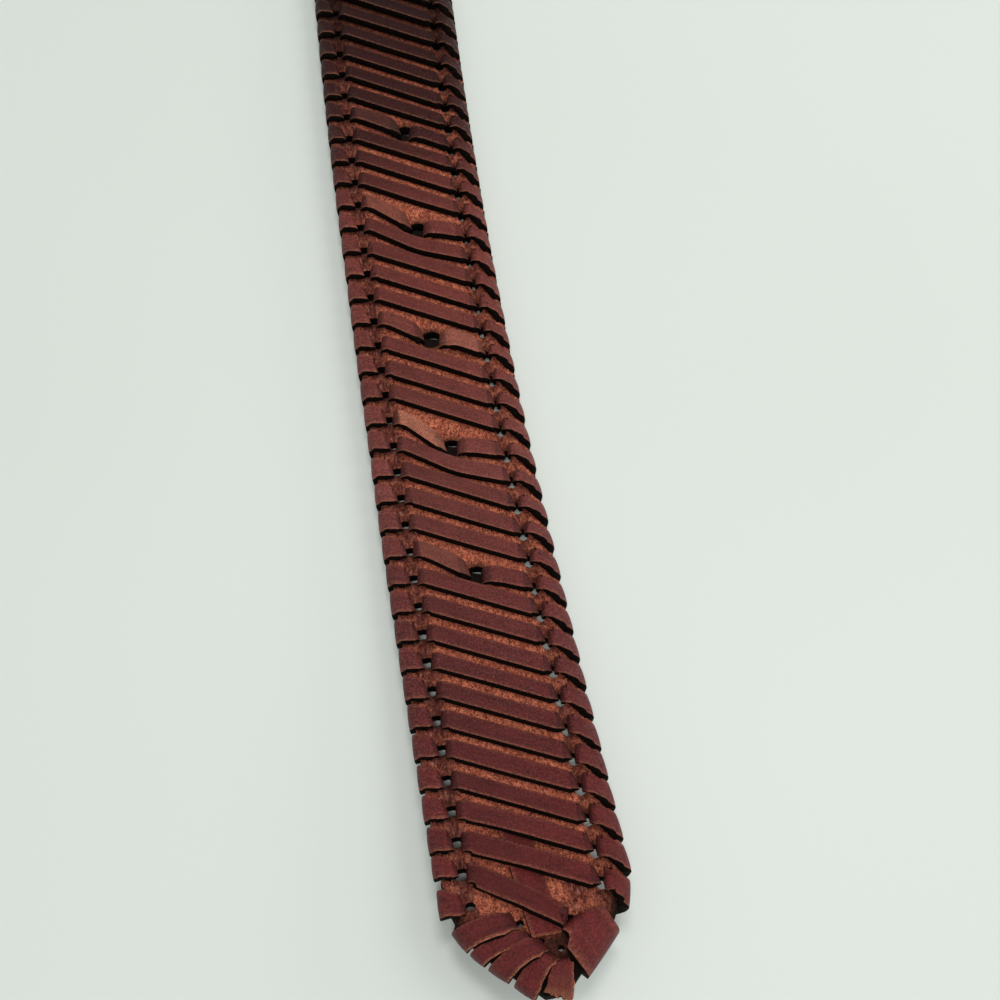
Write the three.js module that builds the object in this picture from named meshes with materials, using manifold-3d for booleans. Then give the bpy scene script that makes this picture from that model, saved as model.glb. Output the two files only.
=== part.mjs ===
// Laced leather belt, lying flat with its laced back face up. The pointed tongue end is at -Y and the
// buckle at +Y. A plain strap is wound with flat leather laces: one runs back and forth through two
// rows of holes, and one whips each edge through the same holes. Millimetres, +Z up.
import * as THREE from "three";
import { mergeVertices } from "three/addons/utils/BufferGeometryUtils.js";
import Module from "manifold-3d";

const wasm = await Module();
wasm.setup();

// Strap
const beltReach = 995; // tongue tip to the centre of the buckle bar
const strapHalf = 14.3;
const strapThick = 2.6;
const tipLength = 19;
const shoulderFlare = 1; // extra half width at the shoulders of the tip
const flareLength = 110;

// How the belt lies: the last stretch of the tongue swings aside and lifts
const swingLength = 205;
const swingAngle = THREE.MathUtils.degToRad(3.87);
const liftLength = 105;
const liftHeight = 7.5;

// Laces
const laceThick = 1;
const laceGap = 0.3;
const strandWidth = 3.5;
const tabWidth = 4.1;
const legWidth = 2.6;
const laceBevel = 1;

// Holes that the laces run through
const pitch = 5.64;
const firstHole = 18.8; // tongue tip to the first pair of holes
const rowMargin = 3.85; // strap edge to the middle of a row
const legRoom = 0.5; // half the open gap between the two laces in one hole
const holeAhead = 2.3;
const holeBehind = 1.6;
const pairCount = 38;
const strandLead = 2; // pitches that a long strand gains from left to right
const tabLead = { left: 0.18, right: 0.5 }; // pitches that a tab gains from hole to edge
const underBow = 0.24; // pitches that the hidden strands bow away from the tip

// Holes for the buckle's prong
const prongHoleLong = 3.8;
const prongHoleWide = 3;

// Buckle, and the strap's end folded round its bar
const foldLength = 58;
const foldSkin = 2;
const foldTaper = 2.6; // over which the doubled end comes to its full thickness
const foldRamp = 3; // radii of the loop over which the top layer comes down from it
const barLong = 4.4;
const barThick = 3;
const barGap = 0.3;
const frameInside = { wide: 32, long: 24 };
const frameRim = 5;
const frameThick = 3.6;
const frameBevel = 0.6;
const frameCorner = 6;
const windowRadius = 2;
const prongWide = 4.4;
const prongThick = 2;
const prongGap = 0.4;

// How finely curves are cut
const loopSteps = 6;
const cornerSteps = 4;
const slopeStep = 0.2;
const mergeLimit = 1e-4;

// Half outline of the strap's pointed tip, as shares of the tip's length and of the shoulder's half width
const tipRows = [
  { along: 0.08, half: 0.12 },
  { along: 0.23, half: 0.31 },
  { along: 0.46, half: 0.61 },
  { along: 0.64, half: 0.8 },
  { along: 0.82, half: 0.925 },
  { along: 1, half: 1 },
];

// Prong holes: the strand that each one cuts through, its place aside as a share of the strap's half
// width, and how far it lies ahead of that strand and pushes the next one on, in pitches
const prongRows = [
  { turn: 12, aside: 0.035, ahead: 0.25, nudge: 0 },
  { turn: 17, aside: 0.02, ahead: 0.46, nudge: 0.22 },
  { turn: 21, aside: 0, ahead: 0.12, nudge: 0 },
  { turn: 26, aside: 0.05, ahead: 0.43, nudge: 0.22 },
  { turn: 30, aside: 0.07, ahead: 0.02, nudge: 0 },
];

// Wraps round the tip, from the blunt end up each side. Hole and edge are shares of the tip's length,
// aside is a share of the shoulder's half width, widths are shares of a tab's width.
const tipWraps = {
  left: [
    { hole: 0.355, aside: 0.05, edge: 0.15, width: 0.8, leg: 0.75 },
    { hole: 0.43, aside: 0, edge: 0.34, width: 0.93, leg: 0.75 },
    { hole: 0.55, aside: -0.07, edge: 0.51, width: 0.98, leg: 0.75 },
    { hole: 0.69, aside: -0.24, edge: 0.69, width: 1, leg: 0.75 },
  ],
  right: [{ hole: 0.67, aside: 0.37, edge: 0.42, width: 1.45, leg: 1 }],
};
const laceEnd = { hole: 0.36, aside: 0.2, tip: -0.015, tipAside: 0.05, width: 0.83, leg: 0.75 };

// Loose tail of lace tucked under the last strands: ends as shares of the tip's length
const tail = { from: 0.62, to: 1.68, fromAside: 0.02, toAside: -0.12, width: 5.3, thick: 0.8 };

const laceInner = strapThick / 2 + laceGap;
const laceOuter = laceInner + laceThick;
const shoulderHalf = strapHalf + shoulderFlare;
const legFar = legRoom + laceThick;
const rowHoleHalf = legFar + laceGap;
const foldStart = beltReach - foldLength;

// How the belt lies

function swingAside(along) {
  const left = Math.min(along, swingLength);
  return swingAngle * (swingLength - left - (swingLength ** 3 - left ** 3) / (3 * swingLength ** 2));
}

function place(along, across, up) {
  const share = Math.min(along / swingLength, 1);
  const heading = swingAngle * (1 - share * share);
  const rise = liftHeight * Math.max(0, 1 - along / liftLength) ** 2;
  return [
    swingAside(along) + across * Math.cos(heading),
    along - swingLength + across * Math.sin(heading),
    laceOuter + rise + up,
  ];
}

function halfWidth(along) {
  if (along >= tipLength) {
    return strapHalf + shoulderFlare * Math.max(0, 1 - (along - tipLength) / (flareLength - tipLength));
  }
  const share = Math.max(along / tipLength, tipRows[0].along);
  const next = Math.max(1, tipRows.findIndex((row) => row.along >= share));
  const a = tipRows[next - 1];
  const b = tipRows[next];
  return shoulderHalf * THREE.MathUtils.mapLinear(share, a.along, b.along, a.half, b.half);
}

function holeAlong(index) {
  return firstHole + index * pitch;
}

function rowHole(index, side) {
  const along = holeAlong(index);
  return { along, across: side * (halfWidth(along) - rowMargin) };
}

function strandSlope() {
  return (strandLead * pitch) / (2 * (strapHalf - rowMargin));
}

function prongHole(row) {
  const across = row.aside * strapHalf;
  const along = holeAlong(row.turn) - (strandLead / 2 + row.ahead) * pitch - across * strandSlope();
  return { along, across };
}

// Solids

function toSolid(geometry) {
  const bare = new THREE.BufferGeometry();
  bare.setAttribute("position", geometry.getAttribute("position"));
  bare.setIndex(geometry.getIndex());
  const merged = mergeVertices(bare, mergeLimit);
  const vertProperties = new Float32Array(merged.getAttribute("position").array);
  const triVerts = new Uint32Array(merged.getIndex().array);
  return new wasm.Manifold(new wasm.Mesh({ numProp: 3, vertProperties, triVerts }));
}

function toGeometry(solid) {
  const { vertProperties, triVerts } = solid.getMesh();
  const geometry = new THREE.BufferGeometry();
  geometry.setAttribute("position", new THREE.BufferAttribute(new Float32Array(vertProperties), 3));
  geometry.setIndex(new THREE.BufferAttribute(new Uint32Array(triVerts), 1));
  geometry.computeVertexNormals();
  return geometry;
}

function signedVolume(points, triangles) {
  const a = new THREE.Vector3();
  const b = new THREE.Vector3();
  const c = new THREE.Vector3();
  let volume = 0;
  for (const [i, j, k] of triangles) {
    a.fromArray(points[i]);
    b.fromArray(points[j]);
    c.fromArray(points[k]);
    volume += a.dot(b.cross(c));
  }
  return volume;
}

// Joins rings of four corners into one closed band, with end caps or as a closed loop
function loft(rings, closed = false) {
  const points = rings.flat();
  const triangles = [];
  const spans = closed ? rings.length : rings.length - 1;
  for (let ring = 0; ring < spans; ring++) {
    const here = 4 * ring;
    const there = 4 * ((ring + 1) % rings.length);
    for (let side = 0; side < 4; side++) {
      const next = (side + 1) % 4;
      triangles.push([here + side, here + next, there + next], [here + side, there + next, there + side]);
    }
  }
  if (!closed) {
    const last = 4 * (rings.length - 1);
    triangles.push([2, 1, 0], [3, 2, 0], [last, last + 1, last + 2], [last, last + 2, last + 3]);
  }
  const outward = signedVolume(points, triangles) > 0;
  const index = triangles.flatMap(([i, j, k]) => (outward ? [i, j, k] : [i, k, j]));
  const geometry = new THREE.BufferGeometry();
  geometry.setAttribute("position", new THREE.Float32BufferAttribute(points.flat(), 3));
  geometry.setIndex(index);
  geometry.computeVertexNormals();
  return geometry;
}

// Upright four-sided post through the strap, centred on a hole, with its sides along a plan direction
function post(centre, dir, back, front, half) {
  const corners = [[back, -half], [front, -half], [front, half], [back, half]];
  const plan = corners.map(([run, aside]) => [
    centre.along + dir.along * run - dir.across * aside,
    centre.across + dir.across * run + dir.along * aside,
  ]);
  const reach = strapThick;
  const rings = plan.map(([along, across]) => [place(along, across, -reach), place(along, across, reach)]);
  const points = rings.flat();
  const triangles = [];
  for (let side = 0; side < 4; side++) {
    const here = 2 * side;
    const there = 2 * ((side + 1) % 4);
    triangles.push([here, there, there + 1], [here, there + 1, here + 1]);
  }
  triangles.push([0, 4, 2], [0, 6, 4], [1, 3, 5], [1, 5, 7]);
  const outward = signedVolume(points, triangles) > 0;
  const index = triangles.flatMap(([i, j, k]) => (outward ? [i, j, k] : [i, k, j]));
  const geometry = new THREE.BufferGeometry();
  geometry.setAttribute("position", new THREE.Float32BufferAttribute(points.flat(), 3));
  geometry.setIndex(index);
  return toSolid(geometry);
}

function planDirection(from, to) {
  const length = Math.hypot(to.along - from.along, to.across - from.across);
  return { along: (to.along - from.along) / length, across: (to.across - from.across) / length };
}

// One section of a lace: the corner line next to the strap, the one away from it, and its half width
function section(inner, outer, half) {
  const corner = (point, sign) =>
    place(point.along + sign * half.along, point.across + sign * half.across, point.up);
  return [corner(inner, -1), corner(inner, 1), corner(outer, 1), corner(outer, -1)];
}

function shifted(point, dir, distance, up) {
  return { along: point.along + dir.along * distance, across: point.across + dir.across * distance, up };
}

// A lace turning over the rim of a hole. The strap lies on the side that dir points to.
function rimSection(hole, dir, room, side, half) {
  const inner = shifted(hole, dir, room + laceThick, side * laceInner);
  const outer = shifted(hole, dir, room, side * laceOuter);
  return section(inner, outer, half);
}

// Edges of the strap

function outlineAt(along, side) {
  const slope = (halfWidth(along + slopeStep) - halfWidth(along - slopeStep)) / (2 * slopeStep);
  const length = Math.hypot(1, slope);
  return {
    point: { along, across: side * halfWidth(along) },
    out: { along: -slope / length, across: side / length },
    run: { along: 1 / length, across: (side * slope) / length },
  };
}

function edgeSections(along, side, halfLength) {
  const { point, out, run } = outlineAt(along, side);
  const half = { along: run.along * halfLength, across: run.across * halfLength };
  const soft = laceGap;
  const at = (distance, up) => shifted(point, out, distance, up);
  return {
    half,
    rings: [
      section(at(laceGap - soft, laceInner), at(laceGap + laceThick - laceBevel, laceOuter), half),
      section(at(laceGap, laceInner - soft), at(laceGap + laceThick, laceOuter - laceBevel), half),
      section(at(laceGap, -laceInner), at(laceGap + laceThick, -laceOuter), half),
    ],
  };
}

// Turns a wrap's width to lie across its own direction, on the same hand as the section before it
function crossHalf(dir, length, before) {
  const sign = -dir.across * before.along + dir.along * before.across < 0 ? -1 : 1;
  return { along: -dir.across * length * sign, across: dir.along * length * sign };
}

// Pieces

function makeStrap() {
  const flat = strapThick / 2;
  const rows = tipRows.map((row) => row.along * tipLength);
  const rowStep = 2 * pitch;
  const steps = Math.ceil((swingLength - tipLength) / rowStep);
  for (let step = 1; step <= steps; step++) {
    rows.push(THREE.MathUtils.lerp(tipLength, swingLength, step / steps));
  }
  rows.push(beltReach - barLong);
  const rings = rows.map((along) => {
    const half = halfWidth(along);
    return [place(along, -half, -flat), place(along, half, -flat), place(along, half, flat), place(along, -half, flat)];
  });
  let strap = toSolid(loft(rings)).add(makeFold());
  for (const cutter of strapCutters()) strap = strap.subtract(cutter);
  return toGeometry(strap);
}

// The strap's end, doubled back and bonded, with an eye for the buckle bar and a slot for the prong
function makeFold() {
  const barUp = foldSkin + barGap + barThick / 2 - laceOuter;
  const eyeLong = barLong / 2 + barGap;
  const eyeUp = barThick / 2 + barGap;
  const loop = eyeUp + foldSkin;
  const centre = beltReach;
  const flat = strapThick / 2;
  const outline = new THREE.Shape();
  outline.moveTo(foldStart, -flat);
  outline.lineTo(foldStart + foldTaper, -laceOuter);
  outline.lineTo(centre + eyeLong - eyeUp, barUp - loop);
  outline.absarc(centre + eyeLong - eyeUp, barUp, loop, -Math.PI / 2, Math.PI / 2, false);
  outline.lineTo(centre - eyeLong, barUp + loop);
  outline.lineTo(centre - eyeLong - foldRamp * loop, flat);
  outline.lineTo(foldStart, flat);
  const eye = new THREE.Path();
  eye.moveTo(centre - eyeLong, barUp - eyeUp);
  eye.lineTo(centre - eyeLong, barUp + eyeUp);
  eye.lineTo(centre + eyeLong, barUp + eyeUp);
  eye.lineTo(centre + eyeLong, barUp - eyeUp);
  outline.holes.push(eye);
  const fold = extrudeAcross(outline, 2 * strapHalf);
  const beyond = 2 * loop;
  const slot = new THREE.BoxGeometry(prongWide + 2 * prongGap, 2 * beyond, 2 * beyond);
  slot.translate(0, centre + beyond - eyeLong - foldSkin - swingLength, barUp + laceOuter);
  return toSolid(fold).subtract(toSolid(slot));
}

// Extrudes an outline drawn along the belt and up to a width across the belt, about its middle
function extrudeAcross(outline, width) {
  const geometry = new THREE.ExtrudeGeometry(outline, { depth: width, bevelEnabled: false, curveSegments: loopSteps });
  geometry.translate(0, 0, -width / 2);
  geometry.applyMatrix4(new THREE.Matrix4().set(0, 0, 1, 0, 1, 0, 0, -swingLength, 0, 1, 0, laceOuter, 0, 0, 0, 1));
  return geometry;
}

function strapCutters() {
  const cutters = [];
  for (const side of [-1, 1]) {
    const count = side < 0 ? pairCount : pairCount - strandLead;
    for (let index = 0; index < count; index++) {
      const middle = { along: 1, across: 0 };
      cutters.push(post(rowHole(index, side), middle, -holeAhead, holeBehind, rowHoleHalf));
    }
  }
  for (const row of prongRows) {
    const half = prongHoleWide / 2 + laceThick + laceGap;
    cutters.push(post(prongHole(row), { along: 1, across: 0 }, -prongHoleLong / 2, prongHoleLong / 2, half));
  }
  for (const side of [-1, 1]) {
    for (const wrap of tipWrapList(side)) {
      cutters.push(post(wrap.hole, wrap.dir, -laceGap, rowHoleHalf, wrap.legHalf + laceGap));
    }
  }
  const end = laceEndRun();
  cutters.push(post(end.hole, end.dir, -laceGap, rowHoleHalf, end.legHalf + laceGap));
  const last = lastStrandHole();
  cutters.push(post(last.hole, last.dir, -rowHoleHalf, laceGap, legWidth / 2 + laceGap));
  return cutters;
}

function tipWrapList(side) {
  return tipWraps[side < 0 ? "left" : "right"].map((row) => {
    const hole = { along: row.hole * tipLength, across: row.aside * shoulderHalf };
    const edge = row.edge * tipLength;
    const dir = planDirection(hole, outlineAt(edge, side).point);
    return { hole, edge, dir, legHalf: (row.leg * legWidth) / 2, edgeHalf: (row.width * tabWidth) / 2 };
  });
}

function tabList(side) {
  const lead = side < 0 ? tabLead.left : -tabLead.right;
  const count = side < 0 ? pairCount : pairCount - strandLead;
  return Array.from({ length: count }, (_, index) => {
    const hole = rowHole(index, side);
    const edge = hole.along + lead * pitch;
    const dir = { along: 0, across: side };
    return { hole, edge, dir, legHalf: legWidth / 2, edgeHalf: tabWidth / 2 };
  });
}

function laceEndRun() {
  const hole = { along: laceEnd.hole * tipLength, across: laceEnd.aside * shoulderHalf };
  const tip = { along: laceEnd.tip * tipLength, across: laceEnd.tipAside * shoulderHalf };
  return { hole, tip, dir: planDirection(hole, tip), legHalf: (laceEnd.leg * legWidth) / 2 };
}

// Whips one edge: up through each hole, over the rim, round the edge and back under to the next hole
function edgeLaceRings(wraps, side) {
  const rings = [];
  let before = { along: 1, across: 0 };
  for (const wrap of wraps) {
    const half = crossHalf(wrap.dir, wrap.legHalf, before);
    const edge = edgeSections(wrap.edge, side, wrap.edgeHalf);
    rings.push(rimSection(wrap.hole, wrap.dir, legRoom, -1, half));
    rings.push(rimSection(wrap.hole, wrap.dir, legRoom, 1, half));
    rings.push(...edge.rings);
    before = edge.half;
  }
  return { rings, before };
}

function makeLeftEdgeLace() {
  return loft(edgeLaceRings([...tipWrapList(-1), ...tabList(-1)], -1).rings);
}

// The right lace runs down to the tip, and its frayed end comes up there and lies over the blunt end
function makeRightEdgeLace() {
  const { rings, before } = edgeLaceRings([...tabList(1).reverse(), ...tipWrapList(1)], 1);
  const end = laceEndRun();
  const legHalf = crossHalf(end.dir, end.legHalf, before);
  const tipHalf = crossHalf(end.dir, (laceEnd.width * tabWidth) / 2, before);
  rings.push(rimSection(end.hole, end.dir, legRoom, -1, legHalf));
  rings.push(rimSection(end.hole, end.dir, legRoom, 1, legHalf));
  rings.push(section({ ...end.tip, up: laceInner }, { ...end.tip, up: laceOuter }, tipHalf));
  return loft(rings);
}

// The last long strand ends in a hole in the tip that it shares with the big right-hand wrap
function lastStrandHole() {
  const hole = tipWrapList(1)[0].hole;
  return { hole, dir: planDirection(rowHole(1, -1), hole) };
}

function strandMiddle(turn, across) {
  return holeAlong(turn) - (strandLead / 2) * pitch - across * strandSlope();
}

function strandSections(turn, half) {
  const pushed = prongRows.find((row) => row.turn === turn + 1 && row.nudge > 0);
  if (pushed) {
    const across = prongHole(pushed).across;
    const along = strandMiddle(turn, across) - pushed.nudge * pitch;
    return [section({ along, across, up: laceInner }, { along, across, up: laceOuter }, half)];
  }
  if (!passesOverTail(turn)) return [];
  const lift = tail.thick + laceGap;
  const reach = tail.width / 2 + laceThick;
  return [-1, 1].map((side) => {
    const across = tailAcross(strandMiddle(turn, 0)) + side * reach;
    const along = strandMiddle(turn, across);
    return section({ along, across, up: laceInner + lift }, { along, across, up: laceOuter + lift }, half);
  });
}

function bowSection(turn, half) {
  const along = holeAlong(turn) - (strandLead - 0.5 - underBow) * pitch;
  return section({ along, across: 0, up: -laceInner }, { along, across: 0, up: -laceOuter }, half);
}

// Laces the middle of the strap: over from each left hole to a right one, and back under. Where a
// prong hole cuts a strand, this lace turns down through it and the strand's right part is a loop.
function makeCentreLace() {
  const rings = [];
  const legHalf = { along: legWidth / 2, across: 0 };
  const strandHalf = { along: strandWidth / 2, across: 0 };
  const inward = { left: { along: 0, across: 1 }, right: { along: 0, across: -1 } };
  for (let turn = pairCount - 1; turn >= 1; turn--) {
    const left = rowHole(turn, -1);
    const cut = prongRows.find((row) => row.turn === turn);
    rings.push(rimSection(left, inward.left, legRoom, -1, legHalf));
    rings.push(rimSection(left, inward.left, legRoom, 1, legHalf));
    if (cut) {
      const hole = prongHole(cut);
      rings.push(rimSection(hole, inward.right, prongHoleWide / 2, 1, legHalf));
      rings.push(rimSection(hole, inward.right, prongHoleWide / 2, -1, legHalf));
      continue;
    }
    rings.push(...strandSections(turn, strandHalf));
    if (turn >= strandLead) {
      const right = rowHole(turn - strandLead, 1);
      rings.push(rimSection(right, inward.right, legRoom, 1, legHalf));
      rings.push(rimSection(right, inward.right, legRoom, -1, legHalf));
      rings.push(bowSection(turn, strandHalf));
    }
  }
  const { hole, dir } = lastStrandHole();
  const back = { along: -dir.along, across: -dir.across };
  const half = crossHalf(back, legWidth / 2, legHalf);
  rings.push(rimSection(hole, back, legRoom, 1, half));
  const end = strapThick / 2;
  rings.push(section(shifted(hole, back, legFar, -end), shifted(hole, back, legRoom, -end), half));
  return loft(rings);
}

function makeCutStrand(row) {
  const hole = prongHole(row);
  const right = rowHole(row.turn - strandLead, 1);
  const half = { along: legWidth / 2, across: 0 };
  const outward = { along: 0, across: 1 };
  const inward = { along: 0, across: -1 };
  return loft(
    [
      rimSection(hole, outward, prongHoleWide / 2, 1, half),
      rimSection(right, inward, legRoom, 1, half),
      rimSection(right, inward, legRoom, -1, half),
      rimSection(hole, outward, prongHoleWide / 2, -1, half),
    ],
    true,
  );
}

function tailAcross(along) {
  const share = along / tipLength;
  return shoulderHalf * THREE.MathUtils.mapLinear(share, tail.from, tail.to, tail.fromAside, tail.toAside);
}

function passesOverTail(turn) {
  const end = tail.to * tipLength;
  return strandMiddle(turn, tailAcross(end)) - strandWidth / 2 - laceGap < end;
}

function makeTail() {
  const half = { along: 0, across: tail.width / 2 };
  const spots = [tail.from, (tail.from + tail.to) / 2, tail.to];
  const rings = spots.map((share) => {
    const along = share * tipLength;
    const across = tailAcross(along);
    return section({ along, across, up: laceInner }, { along, across, up: laceInner + tail.thick }, half);
  });
  return loft(rings);
}

// The rest of the belt, wound edge to edge at the same pitch and slant
function makeBodyLace() {
  const rings = [];
  const half = { along: strandWidth / 2, across: 0 };
  const reach = strapHalf + laceGap;
  const corner = (side, level, along) =>
    section(
      { along, across: side * reach, up: level * laceInner },
      { along, across: side * (reach + laceThick), up: level * laceOuter },
      half,
    );
  const gain = strandSlope() * (reach + laceThick / 2);
  const turns = Math.floor((foldStart - gain - holeAlong(pairCount)) / pitch);
  for (let turn = pairCount + 1; turn < pairCount + turns; turn++) {
    const middle = strandMiddle(turn, 0);
    rings.push(corner(1, -1, middle - gain));
    rings.push(corner(1, 1, middle - gain));
    rings.push(corner(-1, 1, middle + gain));
    rings.push(corner(-1, -1, middle + gain));
  }
  return loft(rings);
}

function roundedRect(path, left, bottom, right, top, radius) {
  path.moveTo(left + radius, bottom);
  path.lineTo(right - radius, bottom);
  path.absarc(right - radius, bottom + radius, radius, -Math.PI / 2, 0, false);
  path.lineTo(right, top - radius);
  path.absarc(right - radius, top - radius, radius, 0, Math.PI / 2, false);
  path.lineTo(left + radius, top);
  path.absarc(left + radius, top - radius, radius, Math.PI / 2, Math.PI, false);
  path.lineTo(left, bottom + radius);
  path.absarc(left + radius, bottom + radius, radius, Math.PI, 1.5 * Math.PI, false);
}

// Plain heel-bar buckle in one piece: a rounded frame whose near side is the bar, and its prong
function makeBuckle() {
  const barUp = foldSkin + barGap + barThick / 2;
  const bar = beltReach - swingLength;
  const inHalf = frameInside.wide / 2;
  const near = bar + barLong / 2;
  const far = near + frameInside.long;
  const rim = new THREE.Shape();
  roundedRect(rim, -inHalf - frameRim, bar - barLong / 2, inHalf + frameRim, far + frameRim, frameCorner);
  const window = new THREE.Path();
  roundedRect(window, -inHalf, near, inHalf, far, windowRadius);
  rim.holes.push(window);
  const depth = frameThick - 2 * frameBevel;
  const bevel = { bevelEnabled: true, bevelThickness: frameBevel, bevelSize: frameBevel, bevelOffset: -frameBevel };
  const frame = new THREE.ExtrudeGeometry(rim, { depth, ...bevel, bevelSegments: 1, curveSegments: cornerSteps });
  frame.translate(0, 0, barUp - depth / 2);
  const seat = new THREE.BoxGeometry(2 * inHalf, 2 * barLong, 2 * frameThick); // cuts the near side away
  seat.translate(0, near + windowRadius - barLong, barUp);
  const rod = new THREE.BoxGeometry(2 * inHalf + frameRim, barLong, barThick);
  rod.translate(0, bar, barUp);
  return toGeometry(toSolid(frame).subtract(toSolid(seat)).add(toSolid(rod)).add(makeProng()));
}

function makeProng() {
  const barUp = foldSkin + barGap + barThick / 2 - laceOuter;
  const top = barUp + frameThick / 2;
  const back = beltReach - barLong / 2;
  const front = beltReach + barLong / 2;
  const rest = front + frameInside.long;
  const outline = new THREE.Shape();
  const under = barUp - barThick / 2;
  outline.moveTo(back, under);
  outline.lineTo(front, under);
  outline.lineTo(front + barLong / 2, barUp);
  outline.lineTo(rest - frameRim, top);
  outline.lineTo(rest, top - prongGap / 2);
  outline.lineTo(rest + frameRim, top - prongGap / 2);
  outline.lineTo(rest + frameRim, top + prongThick / 2);
  outline.lineTo(rest - frameRim, top + prongThick);
  outline.lineTo(front, top + prongThick);
  outline.lineTo(back, top + prongThick / 2);
  return toSolid(extrudeAcross(outline, prongWide));
}

// Materials and assembly

const leather = (color, roughness) => new THREE.MeshStandardMaterial({ color, roughness, metalness: 0 });
const suede = leather(0x9a5636, 0.9);
const mahogany = leather(0x5e2a26, 0.5);
const brass = new THREE.MeshStandardMaterial({ color: 0x8c7a52, roughness: 0.35, metalness: 1 });

const belt = new THREE.Group();

function addPiece(name, geometry, material) {
  const piece = new THREE.Mesh(geometry, material);
  piece.name = name;
  belt.add(piece);
}

addPiece("base_strap", makeStrap(), suede);
addPiece("centre_lace", makeCentreLace(), mahogany);
prongRows.forEach((row, index) => addPiece(`cut_strand_${index + 1}`, makeCutStrand(row), mahogany));
addPiece("edge_lace_left", makeLeftEdgeLace(), mahogany);
addPiece("edge_lace_right", makeRightEdgeLace(), mahogany);
addPiece("lace_tail", makeTail(), mahogany);
addPiece("body_lace", makeBodyLace(), mahogany);
addPiece("buckle", makeBuckle(), brass);

belt.updateMatrixWorld(true);
const box = new THREE.Box3().setFromObject(belt, true);
const middle = box.getCenter(new THREE.Vector3());
belt.position.set(-middle.x, -middle.y, -box.min.z);

export default belt;
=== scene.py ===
# Laced leather belt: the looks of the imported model
import math
import random
import bpy
import numpy as np
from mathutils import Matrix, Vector


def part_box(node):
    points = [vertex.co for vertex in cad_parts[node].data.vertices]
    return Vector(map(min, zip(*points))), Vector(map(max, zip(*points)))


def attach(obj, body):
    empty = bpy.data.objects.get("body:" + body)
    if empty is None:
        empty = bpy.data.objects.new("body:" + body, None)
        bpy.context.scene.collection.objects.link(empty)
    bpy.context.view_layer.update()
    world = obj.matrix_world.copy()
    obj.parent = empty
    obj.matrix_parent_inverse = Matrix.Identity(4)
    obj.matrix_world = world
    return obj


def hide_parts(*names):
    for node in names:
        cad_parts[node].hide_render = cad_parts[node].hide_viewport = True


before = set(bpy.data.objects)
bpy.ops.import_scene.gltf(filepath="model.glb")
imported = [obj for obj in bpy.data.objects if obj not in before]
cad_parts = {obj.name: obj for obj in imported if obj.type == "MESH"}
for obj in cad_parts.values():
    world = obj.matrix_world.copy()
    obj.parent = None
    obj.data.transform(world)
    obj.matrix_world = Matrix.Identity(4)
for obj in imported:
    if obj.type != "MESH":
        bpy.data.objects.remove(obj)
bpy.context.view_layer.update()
mm = 0.001

# how the belt lies, in mm along the belt from the tongue's tip, as the solids have it
strap = {
    "half": 14.3, "thick": 2.6, "tipLength": 19, "flare": 1.0, "flareLength": 110,
    "swingLength": 205, "swing": math.radians(3.87), "liftLength": 105, "lift": 7.5,
    "midUp": 2.6, "rowMargin": 3.85, "reach": 995, "foldStart": 937, "foldThick": 1.9,
    "tip": [(0.08, 0.12), (0.23, 0.31), (0.46, 0.61), (0.64, 0.8), (0.82, 0.925), (1, 1)],
    "edgeRound": 0.35,
    "squeeze": 1.0, "squeezeAt": {1: 0.0, -1: 3.85},  # the leather pushed out between the tabs
}
lace = {
    "thick": 1.65, "hug": 0.1, "pitch": 5.64, "firstHole": 18.8, "lead": 2, "pairs": 38, "lastPair": 160,
    "strandHalf": 1.72, "strandRim": 1.6, "lastStrands": {1: 1.3, 2: 1.16, 3: 1.08},
    "cutHalf": 1.95, "cutRim": 1.75,  # the left parts of the strands that the prong holes cut
    "tabRimShare": 0.84, "tabSpread": 0.22,
    "room": 0.45, "rimLean": 1.2, "underBow": 0.24, "hugSides": [(90, -0.25), (150, -0.85)],
    "crown": 0.1, "tabCrown": 0.02, "tilt": 0.34,
}
# for each prong hole: the strand it cuts, its place aside and ahead, how far back that strand's left end
# turns down, the next strand's nudge, the left end's wear, the opening, and the right end's lift and scuff
prongHoleFields = ("turn", "aside", "ahead", "back", "nudge", "wear", "open", "lift", "scuff")
prongHoles = [dict(zip(prongHoleFields, row)) for row in (
    (12, 0.5, 0.25, 1.1, 0, 0.3, 1.2, 0.1, 0),
    (17, 0.29, 0.46, 0.5, 0.22, 1.0, 1.2, 0.1, 0),
    (21, 0, 0.12, 1.0, 0, 0.1, 1.6, 0.9, 0.5),
    (26, 0.72, 0.43, 1.5, 0.22, 0.3, 1.3, 0.1, 0),
    (30, 1.0, 0.02, 0.8, 0, 0.1, 1, 0, 0),
)]
shoulderHalf = strap["half"] + strap["flare"]
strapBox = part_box("base_strap")
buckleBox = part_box("buckle")
middleX = (buckleBox[0][0] + buckleBox[1][0]) / 2 / mm
# the belt's length is counted from its tip
tipY = strapBox[0][1] / mm - strap["tip"][0][0] * strap["tipLength"]
midUp = strap["thick"] / 2 + lace["hug"] + lace["thick"] / 2
underUp = strap["midUp"] - lace["thick"] / 2 - lace["crown"]


def deselectAll():
    if bpy.context.object and bpy.context.object.mode != "OBJECT":
        bpy.ops.object.mode_set(mode="OBJECT")
    bpy.ops.object.select_all(action="DESELECT")


deselectAll()


# Places along the belt

def toWorld(along, across, up):
    along = np.asarray(along, dtype=float)
    length = strap["swingLength"]
    near = np.minimum(along, length)
    heading = strap["swing"] * (1 - (near / length) ** 2)
    aside = strap["swing"] * (length - near - (length ** 3 - near ** 3) / (3 * length ** 2))
    rise = strap["lift"] * np.maximum(0, 1 - along / strap["liftLength"]) ** 2
    return np.stack([
        middleX + aside + across * np.cos(heading),
        tipY + along + across * np.sin(heading),
        strap["midUp"] + rise + up,
    ], axis=-1) * mm


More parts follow.
